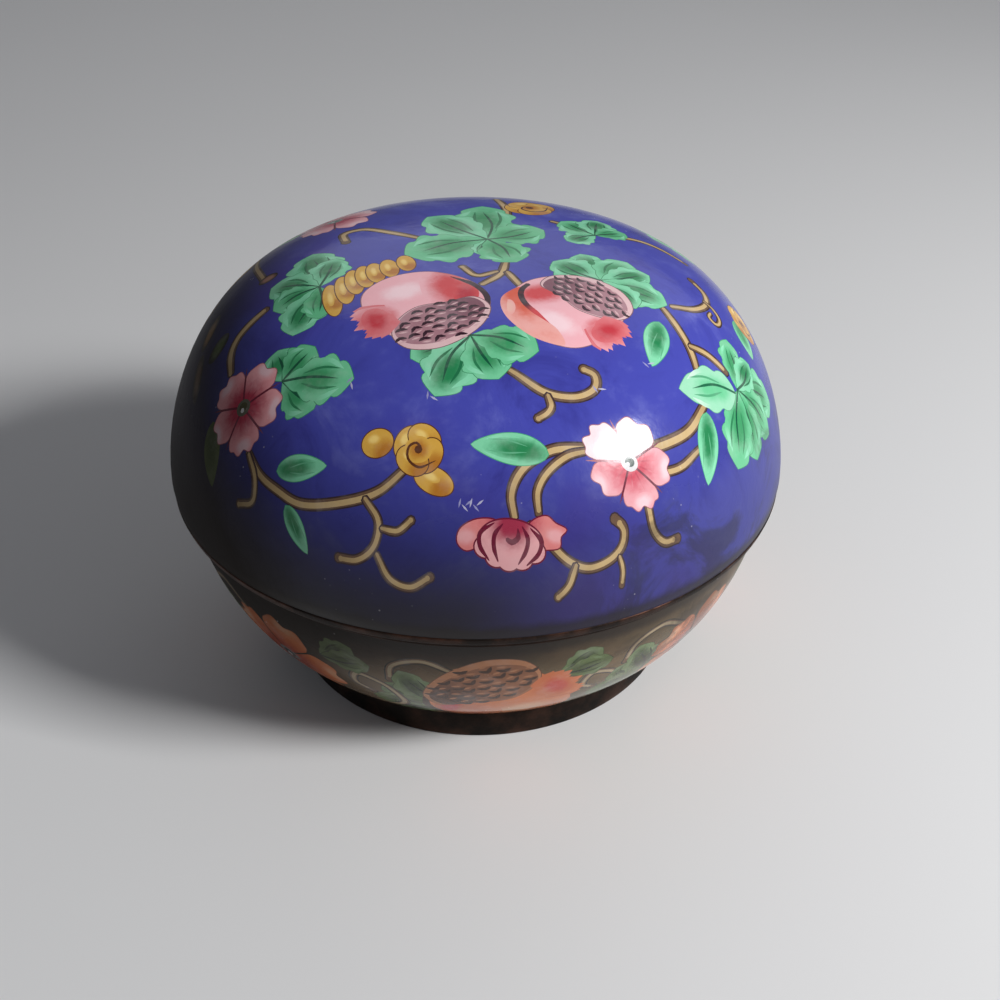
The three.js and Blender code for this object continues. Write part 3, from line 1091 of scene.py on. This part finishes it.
def paint_bowl_group(sheet, repeat):
    """Every second group has a fruit, and those between have an open blossom."""
    sheet.place = bowl_place(BOWL_FRONT + repeat * ROUND / BOWL_REPEATS)
    curl = [(8, 44), (14, 42), (19, 46), (18.5, 52), (14.5, 54), (13, 50.5), (15, 48.5)]
    tendril(sheet, curl, 1.3, hook=True, **BONE_PAINT)
    tendril(sheet, [(-6, 58), (-11, 60.5), (-15.5, 58.5), (-16, 54.5)], 1.2, hook=True, **BONE_PAINT)
    foliage(sheet, (-9, 46), [(-17, 53, 7), (-14.5, 57.5, 6), (-19, 46.5, 7), (-15, 40.5, 7)], **SAGE_PAINT)
    foliage(sheet, (9, 56), [(15.5, 60.5, 5), (17.5, 57, 5)], **SAGE_PAINT)
    if repeat % 2:
        blossom(
            sheet, 0, 50, 10.5, turn=72, outer=ORANGE, throat=ORANGE_DEEP, ink=SAGE_INK, eye=SAGE_INK,
            light=ORANGE_PALE,
        )
    else:
        blush = mixed(ORANGE, ORANGE_DEEP, 0.45)
        ink = rgb(70, 46, 34)
        fruit(sheet, 1, 48.5, 11.5, 26, ORANGE, ORANGE_PALE, blush, ink=ink, flesh=DULL_SEEDS)


bowl_sheet = Sheet(bowl_line)
for repeat in range(BOWL_REPEATS):
    paint_bowl_group(bowl_sheet, repeat)
bowl = painted_shell("painted_bowl", bowl_sheet, GROUND_OLIVE)

# %% [markdown]
# Metal edges
#
# Each edge is a drawn copper strip bent into a ring. A plane is added as the strip's section,
# upright at its place, its corners are moved to the true section and bevelled, and the section is
# spun round the axis. The full turn meets its own start, so the doubles are merged and the
# normals recalculated.

# %% Rings
RING_STEPS = 192
RIM_PROUD = 0.2
RIM_SWELL = 0.08
LEDGE_WIDTH = 2.5
COLLAR_WALL = 1.0
COLLAR_CLEARANCE = 0.4
FOOT_WALL = 2.4
FOOT_SINK = 0.1
RING_BEVEL = 0.35
COLLAR_BEVEL = 0.3
BEVEL_STEPS = 3
SMOOTH_ANGLE = math.radians(40)
LID_RIM_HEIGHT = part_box("lid_rim")[1].z / MM - SEAM
LID_RIM_TOP_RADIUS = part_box("lid_rim")[1].x / MM + RIM_SWELL
LID_RIM_LIP_RADIUS = LID_RADIUS - LID_TUCK + RIM_PROUD
COLLAR_RADIUS = BOWL_RIM_RADIUS - LEDGE_WIDTH
LID_RIM_BORE = COLLAR_RADIUS + COLLAR_CLEARANCE
FOOT_BORE = FOOT_RADIUS - FOOT_WALL


def section_plane(name, corners):
    """A four-cornered section in the plane of X and Z, corners in order round it."""
    bpy.ops.object.select_all(action="DESELECT")
    bpy.ops.mesh.primitive_plane_add(size=MM, rotation=(math.pi / 2, 0, 0))
    piece = bpy.context.object
    piece.name = piece.data.name = name
    bpy.ops.object.transform_apply(location=True, rotation=True, scale=True)
    for vertex, (radius, height) in zip((0, 1, 3, 2), corners):
        piece.data.vertices[vertex].co = (radius * MM, 0, height * MM)
    return piece


def spin_section(piece):
    """In edit mode with the section selected: one full turn round the axis, closed and outward."""
    bpy.ops.mesh.select_all(action="SELECT")
    bpy.ops.mesh.delete(type="ONLY_FACE")
    bpy.ops.mesh.select_all(action="SELECT")
    bpy.ops.mesh.spin(steps=RING_STEPS, angle=ROUND, center=(0, 0, 0), axis=(0, 0, 1))
    bpy.ops.mesh.select_all(action="SELECT")
    bpy.ops.mesh.remove_doubles(threshold=0.00001)
    bpy.ops.mesh.normals_make_consistent(inside=False)
    bpy.ops.object.mode_set(mode="OBJECT")
    only(piece)
    bpy.ops.object.shade_smooth_by_angle(angle=SMOOTH_ANGLE)
    print(f"{piece.name}: {len(piece.data.polygons)} faces")
    return piece


def plain_ring(name, corners):
    piece = section_plane(name, corners)
    bpy.ops.object.mode_set(mode="EDIT")
    bpy.ops.mesh.select_all(action="SELECT")
    bpy.ops.mesh.bevel(offset=RING_BEVEL * MM, offset_pct=0, segments=BEVEL_STEPS, affect="VERTICES")
    return spin_section(piece)


def bowl_height(radius):
    """The height of the bowl's outside at one radius, a hair inside the glaze."""
    return bowl_line.at(np.interp(radius, bowl_line.radius, bowl_line.run))[1] + FOOT_SINK


lid_ring = plain_ring("lid_edge_ring", [
    (LID_RIM_BORE, SEAM),
    (LID_RIM_LIP_RADIUS, SEAM),
    (LID_RIM_TOP_RADIUS, SEAM + LID_RIM_HEIGHT),
    (LID_RIM_BORE, SEAM + LID_RIM_HEIGHT),
])
foot = plain_ring("foot_band", [
    (FOOT_BORE, 0),
    (FOOT_RADIUS, 0),
    (FOOT_RADIUS, bowl_height(FOOT_RADIUS)),
    (FOOT_BORE, bowl_height(FOOT_BORE)),
])


def near(value, target):
    return abs(value - target) < 0.01


def collared_ring():
    """The bowl's ring: a ledge, and a collar that is extruded up from its inner edge."""
    bore = COLLAR_RADIUS - COLLAR_WALL
    piece = section_plane("bowl_edge_ring", [
        (bore, BOWL_EDGE),
        (COLLAR_RADIUS, BOWL_EDGE),
        (COLLAR_RADIUS, SEAM),
        (bore, SEAM),
    ])
    bpy.ops.object.mode_set(mode="EDIT")

    def radii(edge):
        return [piece.data.vertices[v].co.x / MM for v in edge.vertices]

    def heights(edge):
        return [piece.data.vertices[v].co.z / MM for v in edge.vertices]

    def outer(edge):
        return all(near(radius, COLLAR_RADIUS) for radius in radii(edge))

    def collar_foot(edge):
        return all(near(height, SEAM) for height in heights(edge)) and sum(radii(edge)) / 2 < COLLAR_RADIUS

    def corner(vertex):
        return near(vertex.co.z / MM, COLLAR_TOP) or near(vertex.co.x / MM, BOWL_RIM_RADIUS)

    pick(piece, "EDGE", outer)
    bpy.ops.mesh.extrude_region()
    bpy.ops.transform.translate(value=((BOWL_RIM_RADIUS - COLLAR_RADIUS) * MM, 0, 0))
    pick(piece, "EDGE", collar_foot)
    bpy.ops.mesh.extrude_region()
    bpy.ops.transform.translate(value=(0, 0, (COLLAR_TOP - SEAM) * MM))
    pick(piece, "VERT", corner)
    bpy.ops.mesh.bevel(offset=COLLAR_BEVEL * MM, offset_pct=0, segments=BEVEL_STEPS, affect="VERTICES")
    bpy.ops.mesh.select_all(action="SELECT")
    bpy.ops.mesh.dissolve_faces()
    return spin_section(piece)


bowl_ring = collared_ring()

# %% [markdown]
# Shader maths in Python
#
# A material's sums read badly as a web of Math nodes. One small class wraps a socket, so that
# `1 - mask * 0.4` adds the nodes it needs. Colours go through Mix nodes, because a Math node turns
# a colour grey.

# %% A small language for materials
class Value:
    """A number that changes over a surface: a socket that Python's operators add Math nodes to."""

    def __init__(self, recipe, socket):
        self.recipe = recipe
        self.socket = socket

    def maths(self, operation, *values):
        return self.recipe.value("ShaderNodeMath", {"operation": operation}, dict(enumerate(values)))

    def __add__(self, other):
        return self.maths("ADD", self, other)

    def __sub__(self, other):
        return self.maths("SUBTRACT", self, other)

    def __rsub__(self, other):
        return self.maths("SUBTRACT", other, self)

    def __mul__(self, other):
        return self.maths("MULTIPLY", self, other)

    __radd__ = __add__
    __rmul__ = __mul__

    def ramp(self, low, high):
        """0 below low, 1 above high, and smooth between."""
        settings = {"interpolation_type": "SMOOTHSTEP"}
        inputs = {"Value": self, "From Min": low, "From Max": high}
        return self.recipe.value("ShaderNodeMapRange", settings, inputs)


class Recipe:
    """One material, with a Principled shader at its end."""

    def __init__(self, name):
        self.material = bpy.data.materials.new(name)
        self.material.use_nodes = True
        self.tree = self.material.node_tree
        self.shader = self.tree.nodes["Principled BSDF"]

    def node(self, kind, settings=None, inputs=None):
        made = self.tree.nodes.new(kind)
        for key, setting in (settings or {}).items():
            setattr(made, key, setting)
        for key, value in (inputs or {}).items():
            self.feed(made.inputs[key], value)
        return made

    def feed(self, socket, value):
        if isinstance(value, Value):
            value = value.socket
        if isinstance(value, bpy.types.NodeSocket):
            self.tree.links.new(value, socket)
        elif isinstance(value, tuple) and len(value) == 3 and socket.type == "RGBA":
            socket.default_value = (*value, 1)
        else:
            socket.default_value = value

    def value(self, kind, settings=None, inputs=None, output=0):
        return Value(self, self.node(kind, settings, inputs).outputs[output])

    def mix(self, factor, first, second):
        return self.node("ShaderNodeMix", {"data_type": "RGBA"}, {0: factor, 6: first, 7: second}).outputs[2]

    def attribute(self, name, output):
        return self.node("ShaderNodeAttribute", {"attribute_name": name}).outputs[output]

    def place(self):
        """The place on the object, in metres."""
        return self.node("ShaderNodeTexCoord").outputs["Object"]

    def part(self, vector, axis):
        """One of a vector's three numbers."""
        return Value(self, self.node("ShaderNodeSeparateXYZ", None, {0: vector}).outputs[axis])

    def length(self, vector):
        return self.value("ShaderNodeVectorMath", {"operation": "LENGTH"}, {0: vector}, output=1)

    def stretch(self, vector, factors):
        made = self.node("ShaderNodeVectorMath", {"operation": "MULTIPLY"}, {0: vector, 1: factors})
        return made.outputs[0]

    def noise(self, vector, scale, detail=3.0, roughness=0.55, distortion=0.0):
        inputs = {"Vector": vector, "Scale": scale, "Detail": detail, "Roughness": roughness}
        return self.value("ShaderNodeTexNoise", None, {**inputs, "Distortion": distortion})

    def specks(self, vector, scale, radius):
        """1 inside small round spots, 0 elsewhere."""
        distance = self.value("ShaderNodeTexVoronoi", None, {"Vector": vector, "Scale": scale})
        return 1 - distance.ramp(radius * 0.6, radius)

    def bump(self, height, strength, distance):
        inputs = {"Height": height, "Strength": strength, "Distance": distance}
        return self.node("ShaderNodeBump", None, inputs).outputs["Normal"]

    def dress(self, shader, inputs):
        for key, value in inputs.items():
            self.feed(shader.inputs[key.replace("_", " ")], value)

    def finish(self, **inputs):
        self.dress(self.shader, inputs)
        return self.material

    def dull(self, amount, **inputs):
        """A second, duller finish over the first one, as far as the amount says."""
        over = self.node("ShaderNodeBsdfPrincipled")
        self.dress(over, inputs)
        shaders = {0: amount, 1: self.shader.outputs[0], 2: over.outputs[0]}
        both = self.node("ShaderNodeMixShader", None, shaders)
        self.tree.links.new(both.outputs[0], self.tree.nodes["Material Output"].inputs["Surface"])


print("Value and Recipe are ready")

# %% [markdown]
# Painted enamel
#
# The glaze is glass: a strong clear reflection over the colour. The colour is the blend of the
# paint's two colours, broken up by fine streaks as the brush leaves them. The blue ground is
# cloudy where the glass is thinner, with tiny pale bubbles. Towards the bare metal edge it darkens
# as burnt glaze and as painted shade, less on the lit right side, and the seam is near black. The
# left flank is painted shade, black-brown, with a second, duller shader mixed in there, and dark
# patches at the lower right are a painted dark reflection. The surface has the faint ripple of
# fired glass.

# %% The painted enamel
STREAK_SCALE = 900
WASH_SCALE = 260
CLOUD_SCALE = 70
DRIFT_SCALE = 26
BUBBLE_SCALE = 620
BUBBLE_PATCH_SCALE = 90
CLOUD_STRENGTH = 0.7
DARK_EDGE_END = 2
# the seam band of burnt glaze and painted shadow, in millimetres from the edge
LIP_START = 3.0
LIP_END = 1.0
# the span of x on the lit right side where the painted edge shade is halved
LIT_SIDE = (0, 40)
# where the painted dark reflection lies: a span of x on the right, and a band from the edge
DARK_REFLECTION_SIDE = (18, 36)
DARK_REFLECTION_START = 20
DARK_REFLECTION_END = 12
RIPPLE = 0.22
RIPPLE_DEPTH = 0.0006


def brushed(recipe, noises, cloud, tint):
    """The colour as the painter left it, and a mask that is 1 on strokes and 0 on the ground."""
    streaks, wash, clouds, drift = noises
    first = recipe.attribute("first_colour", "Color")
    second = recipe.attribute("second_colour", "Color")
    brush = recipe.attribute("brush", "Vector")
    away = recipe.length(recipe.stretch(brush, (1, 1, 0)))
    painted = recipe.part(brush, 2)
    ground = 1 - painted
    fade = 1 - (away + (streaks - 0.5) * 0.35).ramp(0.3, 0.98)
    colour = recipe.mix(fade * painted, first, second)
    milky = (clouds * 0.7 + wash * 0.3).ramp(0.5, 0.72) * CLOUD_STRENGTH
    colour = recipe.mix(milky * ground, colour, cloud)
    colour = recipe.mix(drift.ramp(0.5, 0.7) * ground * 0.45, colour, tint)
    colour = recipe.mix((1 - clouds.ramp(0.25, 0.5)) * ground * 0.6, colour, second)
    colour = recipe.mix(wash.ramp(0.42, 0.75) * painted * 0.1, colour, WHITE)
    colour = recipe.mix((1 - wash.ramp(0.28, 0.46)) * painted * 0.22, colour, second)
    return colour, painted


def darkened(recipe, noises, end, colour, painted, burnt_and_shade, burnt_and_shade_width, left_shade_span):
    """The colour darkened towards the edge by burnt glaze and painted shade, with painted shade on the
    left flank, a near-black seam band and a painted dark reflection; also the edge and shade masks.
    """
    _, wash, clouds, drift = noises
    plan = recipe.attribute("plan", "Vector")
    run = recipe.length(plan)
    aside = recipe.part(plan, 0)
    # darker towards the metal edge: burnt glaze, and painted shade on the lower dome and on the bowl under
    # the lid
    edge = (run + (wash - 0.5) * 3.0 + (clouds - 0.5) * 5.0).ramp(end - burnt_and_shade_width, end - DARK_EDGE_END)
    # painted shade: the edge darkens only half as much on the lit right side
    burn_and_shade_mask = edge * (1 - aside.ramp(*LIT_SIDE) * 0.5)
    colour = recipe.mix(burn_and_shade_mask * (0.97 - painted * 0.6), colour, burnt_and_shade)
    # painted shade: the left flank, away from the light, darkens to black-brown
    left_shade = (drift * 14 + clouds * 6 - aside).ramp(*left_shade_span)
    colour = recipe.mix(left_shade * (0.94 - painted * 0.36), colour, SHADE_BLACK)
    # burnt glaze and painted shadow: a near-black band along the seam, under the lid's edge
    seam_burn_and_shadow = (run + (wash - 0.5) * 1.5).ramp(end - LIP_START, end - LIP_END)
    colour = recipe.mix(seam_burn_and_shadow * 0.8, colour, SHADE_BLACK)
    # painted dark reflection: dark patches near the edge at the lower right
    patches = (clouds * 0.7 + drift * 0.3).ramp(0.47, 0.57)
    dark_reflection = aside.ramp(*DARK_REFLECTION_SIDE) * run.ramp(end - DARK_REFLECTION_START, end - DARK_REFLECTION_END) * patches
    colour = recipe.mix(dark_reflection * 0.6, colour, burnt_and_shade)
    return colour, edge, left_shade


def painted_enamel(name, profile, cloud, tint, burnt_and_shade, burnt_and_shade_width, left_shade_span):
    recipe = Recipe(name)
    place = recipe.place()
    streaks = recipe.noise(place, STREAK_SCALE, 3, 0.6)
    wash = recipe.noise(place, WASH_SCALE, 4, 0.6)
    clouds = recipe.noise(place, CLOUD_SCALE, 5, 0.66, 0.8)
    drift = recipe.noise(place, DRIFT_SCALE, 3, 0.6)
    noises = (streaks, wash, clouds, drift)
    colour, painted = brushed(recipe, noises, cloud, tint)
    colour, edge, left_shade = darkened(recipe, noises, profile.end, colour, painted, burnt_and_shade, burnt_and_shade_width, left_shade_span)
    patches = recipe.noise(place, BUBBLE_PATCH_SCALE, 2).ramp(0.58, 0.66)
    bubbles = recipe.specks(place, BUBBLE_SCALE, 0.11) * patches
    colour = recipe.mix(bubbles * 0.22, colour, WHITE)
    rough = 0.1 + wash * 0.09 + bubbles * 0.3 + edge * 0.25
    height = clouds * 0.6 + wash * 0.3 + streaks * 0.04 - bubbles * 0.2
    normal = recipe.bump(height, RIPPLE, RIPPLE_DEPTH)
    # where the left flank is painted shade, a duller shader without gloss is mixed in
    recipe.dull(left_shade * 0.9, Base_Color=colour, Roughness=0.6, Normal=normal, Specular_IOR_Level=0.06)
    return recipe.finish(Base_Color=colour, Roughness=rough, Normal=normal, Specular_IOR_Level=0.32)


# each ground gets its dark edge colour and the span of x over which the left flank turns to painted shade
blue_enamel = painted_enamel(
    "blue_enamel", lid_line, cloud=rgb(112, 118, 200), tint=rgb(78, 44, 140), burnt_and_shade=rgb(25, 21, 25),
    burnt_and_shade_width=33.0, left_shade_span=(30, 54),
)
olive_enamel = painted_enamel(
    "olive_enamel", bowl_line, cloud=rgb(140, 122, 88), tint=rgb(76, 78, 50), burnt_and_shade=rgb(34, 22, 16),
    burnt_and_shade_width=11.0, left_shade_span=(8, 40),
)
print(f"the blue enamel has {len(blue_enamel.node_tree.nodes)} nodes")

# %% [markdown]
# Counter enamel and dark copper
#
# The inside and the underside carry a plain coat of glass that keeps the copper from warping. It
# isn't seen in the photograph, so it is a plain turquoise with pits. The metal has gone brown,
# and the corners that hands and the lid rub are brighter.

# %% The plain finishes
def counter_enamel():
    recipe = Recipe("counter_enamel")
    place = recipe.place()
    clouds = recipe.noise(place, 60, 4)
    pits = recipe.specks(place, 500, 0.16)
    colour = recipe.mix(clouds.ramp(0.3, 0.7), rgb(70, 150, 160), rgb(112, 186, 188))
    colour = recipe.mix(pits * 0.7, colour, rgb(40, 60, 60))
    height = clouds * 0.6 - pits * 0.5
    normal = recipe.bump(height, 0.4, 0.0004)
    return recipe.finish(Base_Color=colour, Roughness=0.16 + clouds * 0.12, Normal=normal)


def aged_copper(name, worn_low, worn_high, dark=rgb(34, 24, 19)):
    recipe = Recipe(name)
    place = recipe.place()
    height = recipe.part(place, 2)
    blotches = recipe.noise(place, 160, 5, 0.65)
    grain = recipe.noise(recipe.stretch(place, (1, 1, 9)), 900, 3)
    worn = height.ramp(worn_low * MM, worn_high * MM) * blotches.ramp(0.4, 0.65)
    colour = recipe.mix(blotches.ramp(0.35, 0.7), dark, rgb(54, 36, 28))
    colour = recipe.mix(worn * 0.5, colour, rgb(84, 54, 42))
    rough = 0.5 - worn * 0.2 + grain * 0.15
    normal = recipe.bump(blotches * 0.7 + grain * 0.3, 0.4, 0.0003)
    metal = 0.4 + worn * 0.3
    return recipe.finish(
        Base_Color=colour, Roughness=rough, Metallic=metal, Normal=normal, Specular_IOR_Level=0.15
    )


plain_glass = counter_enamel()
edge_copper = aged_copper("edge_copper", SEAM, SEAM + LID_RIM_HEIGHT, rgb(24, 17, 13))
bowl_copper = aged_copper("mouth_copper", SEAM - 0.4, SEAM + 2)
foot_copper = aged_copper("foot_copper", 1.5, -0.2, rgb(19, 14, 10))

for piece, materials, nodes, slot in (
    (lid, (blue_enamel, plain_glass), ["lid"], "blue_enamel"),
    (bowl, (olive_enamel, plain_glass), ["bowl"], "olive_enamel"),
    (lid_ring, (edge_copper,), ["lid_rim"], "aged_copper"),
    (bowl_ring, (bowl_copper,), ["bowl_rim"], "aged_copper"),
    (foot, (foot_copper,), ["foot_ring"], "aged_copper"),
):
    piece.data.materials.clear()
    for material in materials:
        piece.data.materials.append(material)
    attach(piece, "root")
    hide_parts(*nodes)
    print(f"{piece.name} takes the place of {', '.join(nodes)} in {slot}")

# %% [markdown]
# Floor and light
#
# A pale floor runs out of view. One small window of light stands on the right, a little in front
# and high, where its reflection falls on the pale blossom as in the photograph, and it leaves the
# left flank and the bowl in shade. A wide weak light on the far side lifts the back of the dome.

# %% The stage
FLOOR_SIZE = 6.0
KEY_PLACE = (0.525, -0.226, 0.422)
KEY_SIZE = (0.17, 0.13)
KEY_WATTS = 5.0
FAR_PLACE = (0.10, 1.0, 0.75)
FAR_SIZE = (1.4, 0.7)
FAR_WATTS = 1.6
LIGHT_AIM = Vector((0, 0, 0.04))
ROOM_COLOUR = (0.9, 0.92, 1.0, 1)
ROOM_STRENGTH = 0.14


def make_floor():
    bpy.ops.object.select_all(action="DESELECT")
    bpy.ops.mesh.primitive_plane_add(size=FLOOR_SIZE, location=(0, 0, 0))
    floor = bpy.context.object
    floor.name = floor.data.name = "floor"
    recipe = Recipe("pale_floor")
    tone = recipe.noise(recipe.place(), 3, 2)
    colour = recipe.mix(tone, (0.73, 0.73, 0.73), (0.78, 0.78, 0.78))
    floor.data.materials.append(recipe.finish(Base_Color=colour, Roughness=0.8))


def area_light(name, place, size, watts):
    data = bpy.data.lights.new(name, "AREA")
    data.shape = "RECTANGLE"
    data.size, data.size_y = size
    data.energy = watts
    light = bpy.data.objects.new(name, data)
    light.location = place
    light.rotation_euler = (LIGHT_AIM - Vector(place)).to_track_quat("-Z", "Y").to_euler()
    bpy.context.scene.collection.objects.link(light)
    print(f"{name}: {watts} W from {place}")


make_floor()
area_light("window", KEY_PLACE, KEY_SIZE, KEY_WATTS)
area_light("far_wall", FAR_PLACE, FAR_SIZE, FAR_WATTS)
world = bpy.data.worlds.new("studio")
world.use_nodes = True
background = world.node_tree.nodes["Background"]
background.inputs["Color"].default_value = ROOM_COLOUR
background.inputs["Strength"].default_value = ROOM_STRENGTH
bpy.context.scene.world = world
bpy.context.scene.view_settings.view_transform = "Standard"
